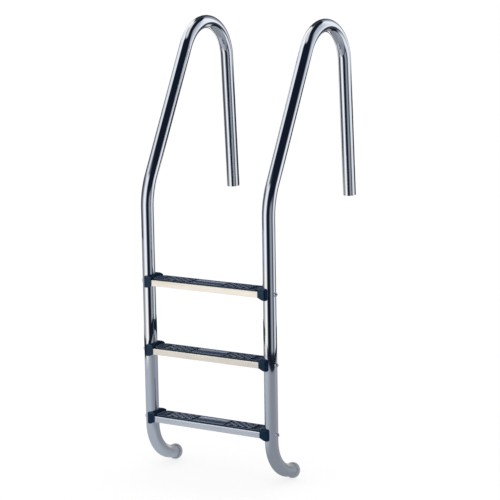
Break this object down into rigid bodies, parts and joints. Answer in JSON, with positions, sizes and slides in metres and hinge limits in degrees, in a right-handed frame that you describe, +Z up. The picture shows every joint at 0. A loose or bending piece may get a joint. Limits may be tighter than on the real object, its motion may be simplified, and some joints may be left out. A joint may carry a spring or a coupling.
{
  "type": "pool ladder",
  "caption": "Fixed pool ladder: bent tube handrails joined by folded metal treads with anti-slip covers, moulded end caps and wall bumpers.",
  "frame": {"origin": "midway between the centres of the cut ends of the deck legs, where the legs enter their deck anchors", "axes": "+Z up, +Y from the water towards the deck, +X to the right of a bather who faces the deck"},
  "size_m": [0.5692, 0.6428, 1.6369],
  "materials": {
    "tube_metal": "polished",
    "tread_metal": "satin",
    "fastener_metal": "polished",
    "cover_plastic": "satin",
    "cap_plastic": "satin",
    "inlay_plastic": "gloss",
    "bumper_rubber": "matte"
  },
  "bodies": {
    "root": {"left_rail": "tube_metal", "left_bumper": "bumper_rubber", "right_rail": "tube_metal", "right_bumper": "bumper_rubber", "bottom_tread_channel": "tread_metal", "bottom_tread_cover": "cover_plastic", "bottom_tread_inlay": "inlay_plastic", "bottom_tread_left_cap": "cap_plastic", "bottom_tread_right_cap": "cap_plastic", "middle_tread_channel": "tread_metal", "middle_tread_cover": "cover_plastic", "middle_tread_inlay": "inlay_plastic", "middle_tread_left_cap": "cap_plastic", "middle_tread_right_cap": "cap_plastic", "top_tread_channel": "tread_metal", "top_tread_cover": "cover_plastic", "top_tread_inlay": "inlay_plastic", "top_tread_left_cap": "cap_plastic", "top_tread_right_cap": "cap_plastic", "tread_bolts": "fastener_metal", "saddle_washers": "fastener_metal", "captive_nuts": "fastener_metal"}
  },
  "joints": []
}
